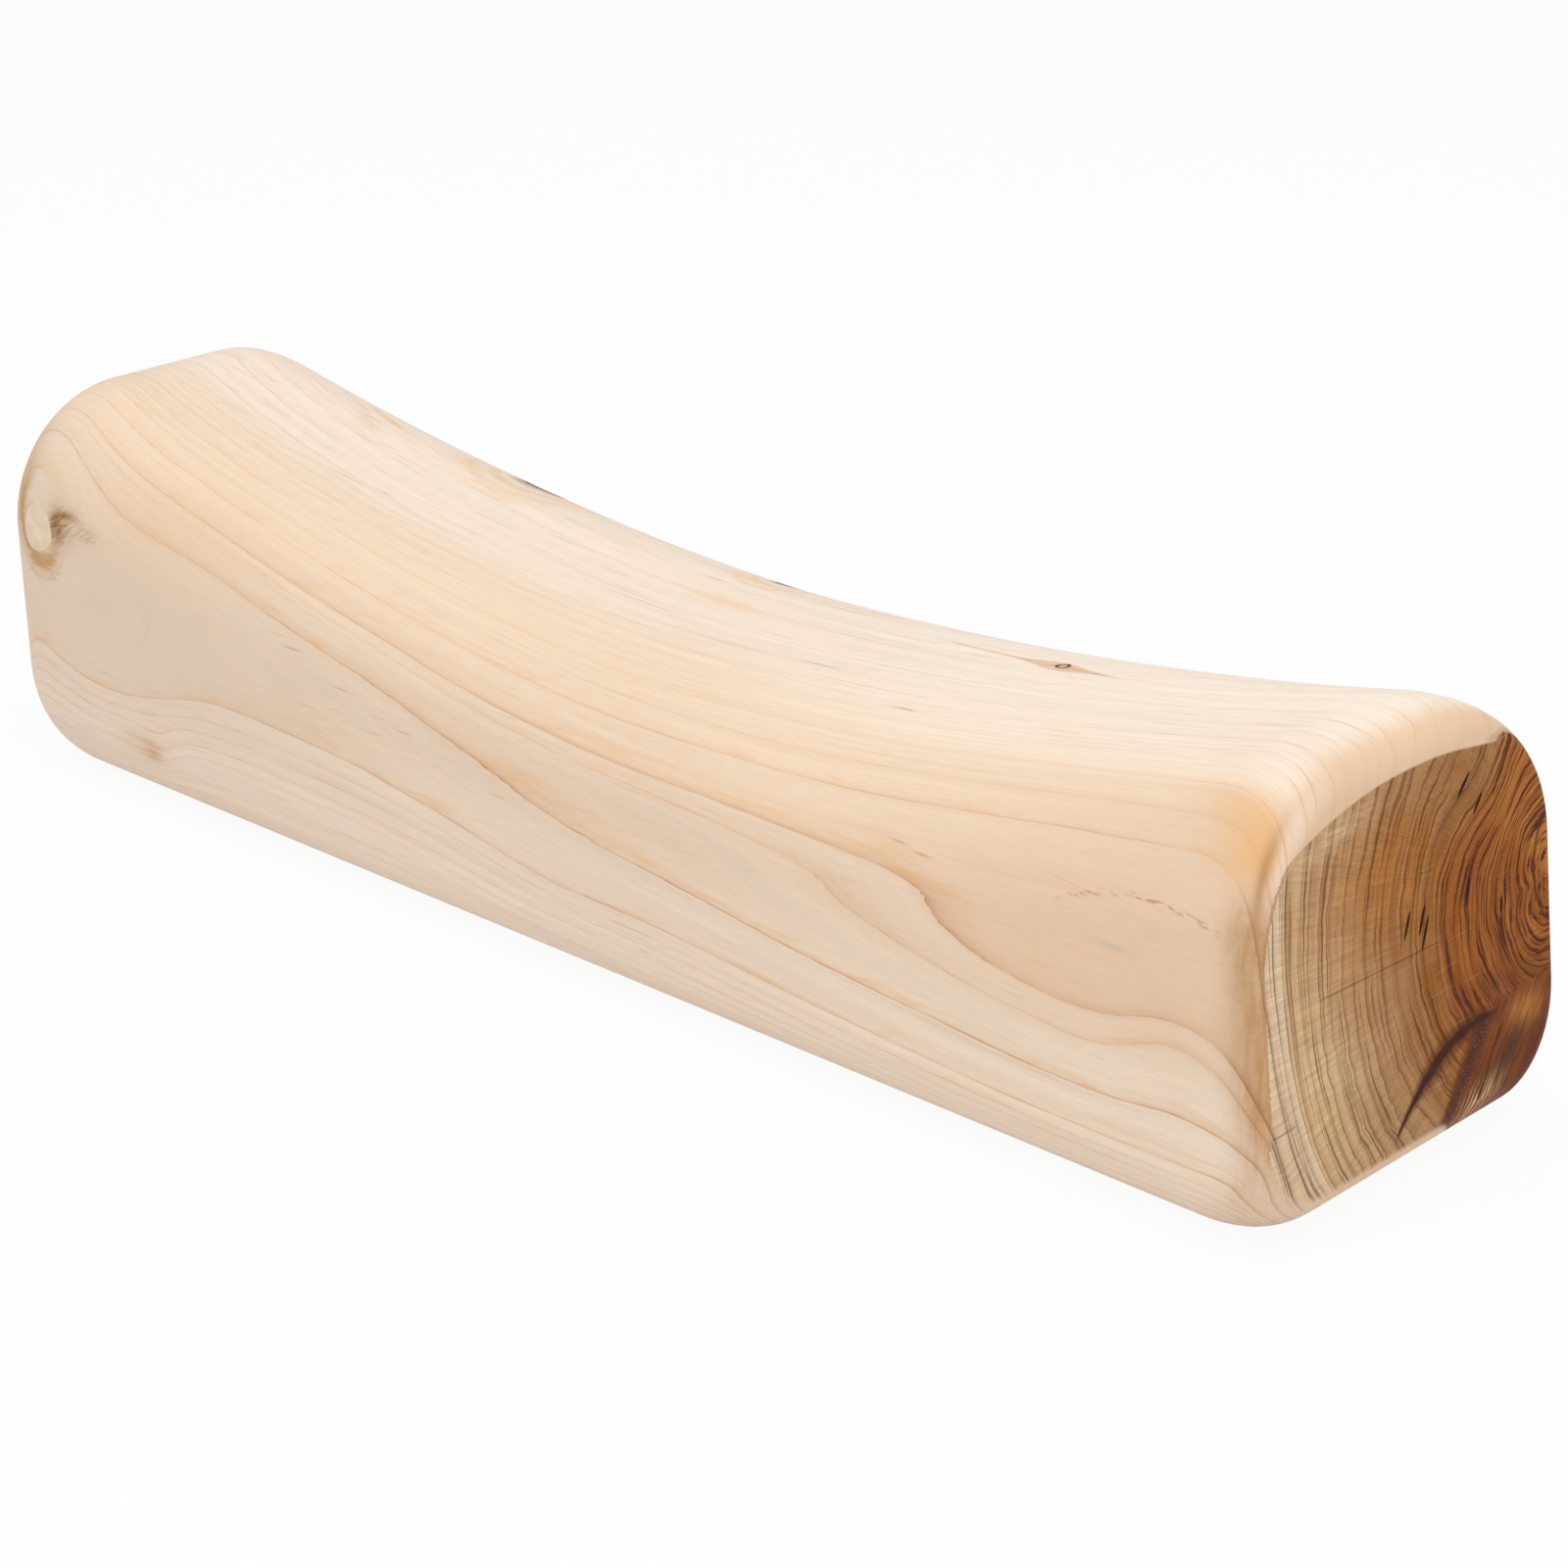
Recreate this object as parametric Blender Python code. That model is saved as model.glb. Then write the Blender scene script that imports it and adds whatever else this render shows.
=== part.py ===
"""Headrest: a plain neck pillow carved from one block of pale softwood, with its encased knots.

Units are metres. +X runs along the length, towards the leaning end that shows the heartwood,
-Y is the front face, +Z is up, and the origin is the middle of the flat base.
The block is a loft of rounded sections. Each knot is a tapered plug of branch wood that sits
in a blind pocket of the block, behind the thin dark seam that its dead bark leaves.
"""

import math

import bmesh
import bpy
from mathutils import Vector
from mathutils.bvhtree import BVHTree

# The block, over everything
LENGTH = 0.400
DEPTH = 0.100

# The side view: two horns with the neck saddle between them
LEFT_HORN_HEIGHT = 0.101
RIGHT_HORN_HEIGHT = 0.0975
SADDLE_HEIGHT = 0.076
SADDLE_OFFSET = 0.0065
SADDLE_POWER = 1.8

# The long edges
FRONT_TOP_RADIUS = 0.033
BACK_TOP_RADIUS = 0.0375
BASE_RADIUS = 0.0145

# The round-overs into each end: how far along the block they start, and how deep they cut
END_TOP_RUN = 0.022
END_TOP_CUT = 0.0115
END_FRONT_RUN = 0.013
END_FRONT_CUT = 0.0035
END_BACK_RUN = 0.011
END_BACK_CUT = 0.003
END_BASE_RUN = 0.022
END_BASE_CUT = 0.012

# The corners of the flat end faces
END_FRONT_TOP_RADIUS = 0.030
END_BACK_TOP_RADIUS = 0.026
END_BASE_RADIUS = 0.018

# The right end is sawn out of square: its top stands back from its foot
RIGHT_END_LEAN = 0.008
LEAN_POWER = 4

# Encased knots: places from the nearest end and from the back or the base
BARK_GAP = 0.0003
KNOT_TAPER = 0.2
PIN_KNOT_FROM_RIGHT = 0.1025
PIN_KNOT_FROM_BACK = 0.0395
PIN_KNOT_DIAMETER = 0.003
PIN_KNOT_DEPTH = 0.012
EDGE_KNOT_FROM_RIGHT = 0.1995
EDGE_KNOT_FROM_BACK = 0.020
EDGE_KNOT_DIAMETER = 0.008
EDGE_KNOT_DEPTH = 0.016
LEFT_KNOT_FROM_LEFT = 0.115
LEFT_KNOT_FROM_BACK = 0.017
LEFT_KNOT_DIAMETER = 0.014
LEFT_KNOT_DEPTH = 0.020
FRONT_KNOT_FROM_LEFT = 0.0125
FRONT_KNOT_HEIGHT = 0.065
FRONT_KNOT_DIAMETER = 0.013
FRONT_KNOT_DEPTH = 0.024

# How finely the curves are cut into facets
END_STEPS = 9
LENGTH_STEPS = 22
TOP_CORNER_STEPS = 9
BASE_CORNER_STEPS = 6
STRAIGHT_STEPS = 4
KNOT_SIDES = 28

# A wall keeps this share of itself straight between two fillets that would meet
MOST_FILLET = 0.98


def clear_scene():
    for old in list(bpy.data.objects):
        bpy.data.objects.remove(old, do_unlink=True)


def wood(name, colour, roughness):
    """A plain wood finish for one part."""
    material = bpy.data.materials.new(name)
    material.use_nodes = True
    shader = material.node_tree.nodes["Principled BSDF"]
    shader.inputs["Base Color"].default_value = (*colour, 1.0)
    shader.inputs["Roughness"].default_value = roughness
    shader.inputs["Metallic"].default_value = 0.0
    return material


def round_over(past, run, cut):
    """How deep a quarter-ellipse round-over has cut, this far past the line where it starts."""
    share = min(max(past / run, 0.0), 1.0)
    return cut * (1.0 - math.sqrt(1.0 - share * share))


def top_height(x):
    """Height of the top line above the base, before the ends are rounded."""
    if x > SADDLE_OFFSET:
        share = (x - SADDLE_OFFSET) / (LENGTH / 2 - SADDLE_OFFSET)
        rise = RIGHT_HORN_HEIGHT - SADDLE_HEIGHT
    else:
        share = (SADDLE_OFFSET - x) / (LENGTH / 2 + SADDLE_OFFSET)
        rise = LEFT_HORN_HEIGHT - SADDLE_HEIGHT
    return SADDLE_HEIGHT + rise * share**SADDLE_POWER


def fitted(first, second, wall):
    """Two fillets that share a wall, made smaller together where the wall is too short for both."""
    share = min(1.0, MOST_FILLET * wall / (first + second))
    return first * share, second * share


def arc(centre_y, centre_z, radius, start, steps):
    """A quarter turn in the section's plane, counter-clockwise from start."""
    angles = [start + math.pi / 2 * step / steps for step in range(steps + 1)]
    return [(centre_y + radius * math.cos(a), centre_z + radius * math.sin(a)) for a in angles]


def section(x):
    """The block's outline at x, as (y, z) points from the back top corner over to the front."""
    past_middle = abs(x) - LENGTH / 2
    top_cut = round_over(past_middle + END_TOP_RUN, END_TOP_RUN, END_TOP_CUT)
    front_cut = round_over(past_middle + END_FRONT_RUN, END_FRONT_RUN, END_FRONT_CUT)
    back_cut = round_over(past_middle + END_BACK_RUN, END_BACK_RUN, END_BACK_CUT)
    base_cut = round_over(past_middle + END_BASE_RUN, END_BASE_RUN, END_BASE_CUT)
    back = DEPTH / 2 - back_cut
    front = -DEPTH / 2 + front_cut
    top = top_height(x) - top_cut
    base = base_cut

    # The corner radii pass from the long edges' to the end face's as the round-overs deepen.
    blend = max(top_cut / END_TOP_CUT, front_cut / END_FRONT_CUT, base_cut / END_BASE_CUT)
    front_radius = FRONT_TOP_RADIUS + (END_FRONT_TOP_RADIUS - FRONT_TOP_RADIUS) * blend
    back_radius = BACK_TOP_RADIUS + (END_BACK_TOP_RADIUS - BACK_TOP_RADIUS) * blend
    base_radius = BASE_RADIUS + (END_BASE_RADIUS - BASE_RADIUS) * blend
    back_radius, front_radius = fitted(back_radius, front_radius, back - front)
    back_radius, base_radius = fitted(back_radius, base_radius, top - base)
    front_radius, base_radius = fitted(front_radius, base_radius, top - base)

    corners = [
        arc(back - back_radius, top - back_radius, back_radius, 0.0, TOP_CORNER_STEPS),
        arc(front + front_radius, top - front_radius, front_radius, math.pi / 2, TOP_CORNER_STEPS),
        arc(front + base_radius, base + base_radius, base_radius, math.pi, BASE_CORNER_STEPS),
        arc(back - base_radius, base + base_radius, base_radius, math.pi * 1.5, BASE_CORNER_STEPS),
    ]
    outline = []
    for corner, following in zip(corners, corners[1:] + corners[:1]):
        outline += corner
        start, end = Vector(corner[-1]), Vector(following[0])
        for step in range(1, STRAIGHT_STEPS):
            outline.append(tuple(start.lerp(end, step / STRAIGHT_STEPS)))
    return outline


def lean(x, z):
    """How far the sawn right end moves a point at height z along the block."""
    if x <= 0.0:
        return 0.0
    face_height = RIGHT_HORN_HEIGHT - END_TOP_CUT - END_BASE_CUT
    share = (x / (LENGTH / 2)) ** LEAN_POWER
    return -RIGHT_END_LEAN * (z - END_BASE_CUT) / face_height * share


def stations():
    """Where along X the sections stand: close together on the end round-overs, even between."""
    longest_run = max(END_TOP_RUN, END_FRONT_RUN, END_BACK_RUN, END_BASE_RUN)
    start = LENGTH / 2 - longest_run
    turns = [math.pi / 2 * step / END_STEPS for step in range(END_STEPS + 1)]
    right = [start + longest_run * math.sin(turn) for turn in turns]
    middle = [start * (2 * step / LENGTH_STEPS - 1) for step in range(1, LENGTH_STEPS)]
    return [-x for x in reversed(right)] + middle + right


def lofted_block():
    """A bmesh of the block: quads between neighbouring sections and a flat face at each end."""
    block = bmesh.new()
    rings = []
    for x in stations():
        rings.append([block.verts.new((x + lean(x, z), y, z)) for y, z in section(x)])
    for ring, following in zip(rings, rings[1:]):
        for corner in range(len(ring)):
            beside = (corner + 1) % len(ring)
            block.faces.new((ring[corner], ring[beside], following[beside], following[corner]))
    block.faces.new(rings[0])
    block.faces.new(rings[-1])
    bmesh.ops.recalc_face_normals(block, faces=block.faces)
    return block


def plug(radius, depth, reach):
    """A bmesh frustum along Z: radius at z = 0, narrowing to depth below it, and reach above it."""
    slope = radius * KNOT_TAPER / depth
    frustum = bmesh.new()
    bmesh.ops.create_cone(
        frustum,
        cap_ends=True,
        segments=KNOT_SIDES,
        radius1=radius - slope * depth,
        radius2=radius + slope * reach,
        depth=depth + reach,
    )
    bmesh.ops.translate(frustum, verts=frustum.verts, vec=(0.0, 0.0, (reach - depth) / 2))
    return frustum


def add_object(name, shape, collection, material=None, helper=False):
    """A named object from a bmesh. A helper only cuts, and isn't part of the model."""
    mesh = bpy.data.meshes.new(name)
    shape.to_mesh(mesh)
    shape.free()
    made = bpy.data.objects.new(name, mesh)
    collection.objects.link(made)
    if material:
        mesh.materials.append(material)
    made.hide_render = helper
    if helper:
        made.display_type = "WIRE"
    else:
        mesh.shade_smooth()
        mesh.set_sharp_from_angle(angle=math.radians(40))
    return made


def add_boolean(target, operation, tool):
    modifier = target.modifiers.new(f"{operation.lower()} {tool.name}", "BOOLEAN")
    modifier.operation = operation
    modifier.object = tool
    modifier.solver = "EXACT"


def add_knot(name, block, blank, surface, start, aim, diameter, depth, finish, parts, cutters):
    """A plug square to the block where a line from start along aim meets it, and its pocket."""
    place, normal, _, _ = surface.ray_cast(Vector(start), Vector(aim))
    turn = normal.to_track_quat("Z", "Y").to_euler()

    knot = add_object(name, plug(diameter / 2, depth, diameter), parts, finish)
    pocket_shape = plug(diameter / 2 + BARK_GAP, depth + BARK_GAP, diameter)
    pocket = add_object(f"{name}_pocket", pocket_shape, cutters, helper=True)
    for piece in (knot, pocket):
        piece.location = place
        piece.rotation_euler = turn
    add_boolean(knot, "INTERSECT", blank)
    add_boolean(block, "DIFFERENCE", pocket)
    return knot


def build():
    clear_scene()
    parts = bpy.data.collections.new("headrest")
    cutters = bpy.data.collections.new("cutters")
    for collection in (parts, cutters):
        bpy.context.scene.collection.children.link(collection)

    pale_wood = wood("pale_wood", (0.80, 0.62, 0.44), 0.55)
    knot_wood = wood("knot_wood", (0.42, 0.22, 0.11), 0.6)
    pale_knot = wood("pale_knot", (0.68, 0.52, 0.36), 0.6)

    shape = lofted_block()
    surface = BVHTree.FromBMesh(shape)
    blank = add_object("block_blank", shape.copy(), cutters, helper=True)
    block = add_object("headrest_block", shape, parts, pale_wood)

    frame = bpy.data.objects.new("headrest", None)
    parts.objects.link(frame)
    block.parent = frame

    # Three knots open on the top, reached from straight above, and one on the front face.
    above = 2 * max(LEFT_HORN_HEIGHT, RIGHT_HORN_HEIGHT)
    down = (0.0, 0.0, -1.0)
    pin_start = (LENGTH / 2 - PIN_KNOT_FROM_RIGHT, DEPTH / 2 - PIN_KNOT_FROM_BACK, above)
    edge_start = (LENGTH / 2 - EDGE_KNOT_FROM_RIGHT, DEPTH / 2 - EDGE_KNOT_FROM_BACK, above)
    left_start = (LEFT_KNOT_FROM_LEFT - LENGTH / 2, DEPTH / 2 - LEFT_KNOT_FROM_BACK, above)
    front_start = (FRONT_KNOT_FROM_LEFT - LENGTH / 2, -DEPTH, FRONT_KNOT_HEIGHT)
    knots = [
        ("saddle_pin_knot", pin_start, down, PIN_KNOT_DIAMETER, PIN_KNOT_DEPTH, knot_wood),
        ("back_edge_knot", edge_start, down, EDGE_KNOT_DIAMETER, EDGE_KNOT_DEPTH, knot_wood),
        ("back_left_knot", left_start, down, LEFT_KNOT_DIAMETER, LEFT_KNOT_DEPTH, knot_wood),
        ("left_front_knot", front_start, (0.0, 1.0, 0.0), FRONT_KNOT_DIAMETER, FRONT_KNOT_DEPTH, pale_knot),
    ]
    for name, start, aim, diameter, depth, finish in knots:
        knot = add_knot(name, block, blank, surface, start, aim, diameter, depth, finish, parts, cutters)
        knot.parent = frame


build()
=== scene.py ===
# %% [markdown]
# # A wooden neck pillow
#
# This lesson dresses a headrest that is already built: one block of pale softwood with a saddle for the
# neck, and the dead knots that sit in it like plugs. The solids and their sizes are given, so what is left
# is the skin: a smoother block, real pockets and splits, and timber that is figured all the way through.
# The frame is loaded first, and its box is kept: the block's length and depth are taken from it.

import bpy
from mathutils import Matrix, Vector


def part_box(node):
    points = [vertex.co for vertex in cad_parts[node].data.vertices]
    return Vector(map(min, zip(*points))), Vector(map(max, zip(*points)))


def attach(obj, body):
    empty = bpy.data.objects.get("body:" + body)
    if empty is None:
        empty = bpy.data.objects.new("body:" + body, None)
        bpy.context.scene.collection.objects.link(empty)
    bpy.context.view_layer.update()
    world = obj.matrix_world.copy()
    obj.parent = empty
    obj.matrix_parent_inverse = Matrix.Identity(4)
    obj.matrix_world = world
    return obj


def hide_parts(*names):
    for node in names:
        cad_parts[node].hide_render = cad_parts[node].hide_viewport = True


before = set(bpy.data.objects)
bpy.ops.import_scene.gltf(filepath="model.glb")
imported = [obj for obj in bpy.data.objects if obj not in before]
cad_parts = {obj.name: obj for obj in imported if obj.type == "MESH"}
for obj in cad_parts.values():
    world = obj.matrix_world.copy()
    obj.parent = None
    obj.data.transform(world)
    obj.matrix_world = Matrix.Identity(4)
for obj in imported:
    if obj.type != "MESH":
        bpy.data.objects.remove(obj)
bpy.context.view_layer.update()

import math

import bmesh
import bpy
from mathutils import Matrix, Vector, noise
from mathutils.bvhtree import BVHTree

MM = 0.001
block_low, block_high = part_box("headrest_block")
LENGTH = block_high.x - block_low.x
DEPTH = block_high.y - block_low.y
print(f"block {LENGTH / MM:.0f} mm long and {DEPTH / MM:.0f} mm deep, knots {sorted(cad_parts)[1:]}")

# %% [markdown]
# ## The shape of the block
#
# The maker saws a bar, hollows its top into a saddle, rounds every long edge by hand and eases the two ends.
# Nothing on it is a box with a bevel: each edge has its own radius, and the radii change towards the ends.
# A loft gives that control. A section is worked out at each place along the bar, and neighbouring sections
# are joined with quads. The formulas are the frame's, only cut into much finer steps.

# %% One section of the bar
LEFT_HORN_HEIGHT = 101.0 * MM
RIGHT_HORN_HEIGHT = 97.5 * MM
SADDLE_HEIGHT = 76.0 * MM
SADDLE_OFFSET = 6.5 * MM
SADDLE_POWER = 1.8
LONG_EDGES = {"front_top": 33.0 * MM, "back_top": 37.5 * MM, "base": 14.5 * MM}
END_EDGES = {"front_top": 30.0 * MM, "back_top": 26.0 * MM, "base": 18.0 * MM}
END_RUNS = {"top": 22.0 * MM, "front": 13.0 * MM, "back": 11.0 * MM, "base": 22.0 * MM}
END_CUTS = {"top": 11.5 * MM, "front": 3.5 * MM, "back": 3.0 * MM, "base": 12.0 * MM}
TOP_ARC_STEPS = 22
BASE_ARC_STEPS = 12
WALL_STEPS = 14
MOST_FILLET = 0.98


def top_height(x):
    """Height of the top line above the base, before the ends are rounded."""
    if x > SADDLE_OFFSET:
        share = (x - SADDLE_OFFSET) / (LENGTH / 2 - SADDLE_OFFSET)
        rise = RIGHT_HORN_HEIGHT - SADDLE_HEIGHT
    else:
        share = (SADDLE_OFFSET - x) / (LENGTH / 2 + SADDLE_OFFSET)
        rise = LEFT_HORN_HEIGHT - SADDLE_HEIGHT
    return SADDLE_HEIGHT + rise * share**SADDLE_POWER


def round_over(side, x):
    """How deep the end's quarter-ellipse has cut one side of the section at x."""
    past = abs(x) - LENGTH / 2 + END_RUNS[side]
    share = min(max(past / END_RUNS[side], 0.0), 1.0)
    return END_CUTS[side] * (1.0 - math.sqrt(1.0 - share * share))


def fitted(first, second, wall):
    """Two fillets that share a wall, made smaller together where the wall is too short for both."""
    share = min(1.0, MOST_FILLET * wall / (first + second))
    return first * share, second * share


def arc(centre_y, centre_z, radius, start, steps):
    """A quarter turn in the section's plane, counter-clockwise from start."""
    angles = [start + math.pi / 2 * step / steps for step in range(steps + 1)]
    return [(centre_y + radius * math.cos(a), centre_z + radius * math.sin(a)) for a in angles]


def section(x):
    """The block's outline at x, as (y, z) points from the back top corner over to the front."""
    cuts = {side: round_over(side, x) for side in END_RUNS}
    back = DEPTH / 2 - cuts["back"]
    front = -DEPTH / 2 + cuts["front"]
    top = top_height(x) - cuts["top"]
    base = cuts["base"]
    blend = max(cuts[side] / END_CUTS[side] for side in ("top", "front", "base"))
    radius = {edge: LONG_EDGES[edge] * (1 - blend) + END_EDGES[edge] * blend for edge in LONG_EDGES}
    back_radius, front_radius = fitted(radius["back_top"], radius["front_top"], back - front)
    back_radius, base_radius = fitted(back_radius, radius["base"], top - base)
    front_radius, base_radius = fitted(front_radius, base_radius, top - base)
    corners = [
        arc(back - back_radius, top - back_radius, back_radius, 0.0, TOP_ARC_STEPS),
        arc(front + front_radius, top - front_radius, front_radius, math.pi / 2, TOP_ARC_STEPS),
        arc(front + base_radius, base + base_radius, base_radius, math.pi, BASE_ARC_STEPS),
        arc(back - base_radius, base + base_radius, base_radius, math.pi * 1.5, BASE_ARC_STEPS),
    ]
    outline = []
    for corner, following in zip(corners, corners[1:] + corners[:1]):
        outline += corner
        for step in range(1, WALL_STEPS):
            share = step / WALL_STEPS
            outline.append(tuple(Vector(corner[-1]).lerp(Vector(following[0]), share)))
    return outline


print(f"{len(section(0.0))} points in a section, {top_height(0.0) / MM:.1f} mm high in the middle")

# %% [markdown]
# ## Sections along the bar
#
# The right end was sawn a little out of square, so points lean back with height there. The sections stand
# close together where the ends curve, and evenly between. The flat ends are filled with shrinking copies of
# their outline, which keeps the faces small and even for the splits that are cut later.

# %% Sections and end faces
RIGHT_END_LEAN = 8.0 * MM
LEAN_POWER = 4
END_STEPS = 26
LENGTH_STEPS = 100
END_FACE_RINGS = 16


def lean(x, z):
    """How far the sawn right end moves a point at height z along the block."""
    face_height = RIGHT_HORN_HEIGHT - END_CUTS["top"] - END_CUTS["base"]
    share = (max(x, 0.0) / (LENGTH / 2)) ** LEAN_POWER
    return -RIGHT_END_LEAN * (z - END_CUTS["base"]) / face_height * share


def stations():
    """Where along X the sections stand: close together on the end round-overs, even between."""
    start = LENGTH / 2 - max(END_RUNS.values())
    turns = [math.pi / 2 * step / END_STEPS for step in range(END_STEPS + 1)]
    right = [start + (LENGTH / 2 - start) * math.sin(turn) for turn in turns]
    middle = [start * (2 * step / LENGTH_STEPS - 1) for step in range(1, LENGTH_STEPS)]
    return [-x for x in reversed(right)] + middle + right


def bridge(shape, ring, following):
    """Quads between two rings of the same number of points."""
    for corner in range(len(ring)):
        beside = (corner + 1) % len(ring)
        shape.faces.new((ring[corner], ring[beside], following[beside], following[corner]))


def fill_end(shape, ring):
    """A flat end face: shrinking copies of its outline, and one small face in the middle."""
    centre = sum((vert.co for vert in ring), Vector()) / len(ring)
    for step in range(1, END_FACE_RINGS):
        inner = [shape.verts.new(vert.co.lerp(centre, 1 / (END_FACE_RINGS + 1 - step))) for vert in ring]
        bridge(shape, ring, inner)
        ring = inner
    shape.faces.new(ring)


print(f"{len(stations())} sections along the bar")

# %% [markdown]
# ## Lofting and hand finish
#
# A hand-sanded bar is never quite true: a slow noise of a tenth of a millimetre along the normals lets the
# light wander over it the way it does on the real one. The base is left alone, because the bar stands on it.
# Sculpting would do the same by hand, but noise gives the same bar each time. The tree of the finished skin
# is kept, since the knots are placed on it with rays.

# %% Loft the block
SANDING_WAVE = 45.0 * MM
SANDING_DEPTH = 0.12 * MM


def lofted_block():
    shape = bmesh.new()
    rings = []
    for x in stations():
        rings.append([shape.verts.new((x + lean(x, z), y, z)) for y, z in section(x)])
    for ring, following in zip(rings, rings[1:]):
        bridge(shape, ring, following)
    fill_end(shape, rings[0])
    fill_end(shape, rings[-1])
    bmesh.ops.recalc_face_normals(shape, faces=shape.faces)
    shape.normal_update()
    moves = [SANDING_DEPTH * noise.noise(vert.co / SANDING_WAVE) for vert in shape.verts]
    for vert, move in zip(shape.verts, moves):
        flat = 1.0 - max(0.0, -vert.normal.z)
        vert.co += vert.normal * (move - SANDING_DEPTH) * flat
    return shape


def add_object(name, shape):
    """A named, smooth-shaded object from a bmesh."""
    mesh = bpy.data.meshes.new(name)
    shape.to_mesh(mesh)
    shape.free()
    made = bpy.data.objects.new(name, mesh)
    bpy.context.scene.collection.objects.link(made)
    mesh.shade_smooth()
    return made


blank = lofted_block()
skin = BVHTree.FromBMesh(blank)
block = add_object("carved_block", blank)
print(f"block of {len(block.data.polygons)} faces")

# %% [markdown]
# ## Knots that are plugs
#
# A branch that died before the trunk closed round it leaves a knot that isn't joined to the wood: a plug in
# its own pocket, behind a thin dark seam of bark. So each knot here is a body of its own. Its outline is a
# circle with a few lobes, its rim is found by casting rays at the block, so its face follows the curved
# surface, and it narrows downwards. The same outline, a little larger, cuts the pocket.

# %% The knot class
KNOT_SIDES = 48
KNOT_RINGS = 9
KNOT_TAPER = 0.2
RIM_SINK = 0.6
RIM_POWER = 6
CUTTER_REACH = 4.0 * MM
RAY_LIFT = 20.0 * MM


class Knot:
    """Where a knot sits, what outline it has, and how deep it goes."""

    def __init__(self, name, start, aim, size, depth, seam, lobes):
        self.name, self.size, self.depth, self.seam, self.lobes = name, size, depth, seam, lobes
        self.place, self.normal, _, _ = skin.ray_cast(Vector(start), Vector(aim))
        self.along = Vector((1.0, 0.0, 0.0))
        self.along = (self.along - self.normal * self.along.dot(self.normal)).normalized()
        self.across = self.normal.cross(self.along)

    def rim(self, angle, share=1.0, grow=0.0):
        """A point of the outline, in the plane that touches the block at the knot."""
        radius = self.size / 2
        for count, amount, turn in self.lobes:
            radius += self.size / 2 * amount * math.cos(count * (angle - math.radians(turn)))
        radius = radius * share + grow
        return self.along * (radius * math.cos(angle)) + self.across * (radius * math.sin(angle))

    def on_skin(self, offset):
        """The point of the block's surface under an offset in that plane."""
        start = self.place + offset + self.normal * RAY_LIFT
        found = skin.ray_cast(start, -self.normal)[0]
        return found or self.place + offset

    def angles(self):
        return [2 * math.pi * side / KNOT_SIDES for side in range(KNOT_SIDES)]

    def plug(self):
        """The knot itself, with its face on the block's surface and its rim a hair lower."""
        shape = bmesh.new()
        middle = shape.verts.new(self.on_skin(Vector()))
        rings = []
        for ring in range(1, KNOT_RINGS + 1):
            share = ring / KNOT_RINGS
            sunk = self.normal * (self.seam * RIM_SINK * share**RIM_POWER)
            points = [self.on_skin(self.rim(angle, share)) - sunk for angle in self.angles()]
            rings.append([shape.verts.new(point) for point in points])
        for side in range(KNOT_SIDES):
            shape.faces.new((middle, rings[0][side], rings[0][(side + 1) % KNOT_SIDES]))
        down = -self.normal * self.depth
        foot = [shape.verts.new(self.place + self.rim(a, 1 - KNOT_TAPER) + down) for a in self.angles()]
        for ring, following in zip(rings, rings[1:] + [foot]):
            bridge(shape, ring, following)
        shape.faces.new(foot)
        bmesh.ops.recalc_face_normals(shape, faces=shape.faces)
        return add_object(self.name, shape)

    def add_pocket(self, shape):
        """Adds the pocket to the cutters: the same outline grown by the bark seam."""
        levels = ((CUTTER_REACH, 1.0), (0.0, 1.0), (-self.depth - self.seam, 1 - KNOT_TAPER))
        rings = []
        for height, share in levels:
            lift = self.place + self.normal * height
            rings.append([shape.verts.new(lift + self.rim(a, share, self.seam)) for a in self.angles()])
        for ring, following in zip(rings, rings[1:]):
            bridge(shape, ring, following)
        shape.faces.new(rings[0])
        shape.faces.new(rings[-1])


print(f"a knot has {KNOT_SIDES} sides and {KNOT_RINGS} rings")

# %% [markdown]
# ## Placing the knots
#
# Three knots are found from above and one from the front, each by a ray from its spot, so they sit on the
# surface wherever the saddle puts it. The lobes give each outline its own shape: how many there are round
# the rim, how strong they are, and which way the first one points.

# %% Make the four plugs and their pockets
DOWN = (0.0, 0.0, -1.0)
INWARD = (0.0, 1.0, 0.0)
ABOVE = 0.2
PIN_SPOT = (97.5 * MM, 10.5 * MM, ABOVE)
EDGE_SPOT = (0.5 * MM, 30 * MM, ABOVE)
REAR_SPOT = (-85 * MM, 33 * MM, ABOVE)
BEAN_SPOT = (-187.5 * MM, -DEPTH, 65 * MM)
PIN_LOBES = [(2, 0.12, 20), (3, 0.05, 70)]
EDGE_LOBES = [(2, 0.14, 80), (5, 0.04, 10)]
REAR_LOBES = [(2, 0.12, 10), (3, 0.06, 0)]
BEAN_LOBES = [(2, 0.08, 75), (3, 0.05, 100)]
pin_knot = Knot("pin_knot", PIN_SPOT, DOWN, 3.0 * MM, 12 * MM, 0.12 * MM, PIN_LOBES)
edge_knot = Knot("edge_knot", EDGE_SPOT, DOWN, 8.0 * MM, 16 * MM, 0.18 * MM, EDGE_LOBES)
rear_knot = Knot("rear_knot", REAR_SPOT, DOWN, 14.0 * MM, 20 * MM, 0.18 * MM, REAR_LOBES)
bean_knot = Knot("bean_knot", BEAN_SPOT, INWARD, 12.6 * MM, 24 * MM, 0.05 * MM, BEAN_LOBES)
knots = [pin_knot, edge_knot, rear_knot, bean_knot]
plugs = {knot.name: knot.plug() for knot in knots}
cutters = bmesh.new()
for knot in knots:
    knot.add_pocket(cutters)
    print(f"{knot.name} at {[round(c / MM, 1) for c in knot.place]} mm")

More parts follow.
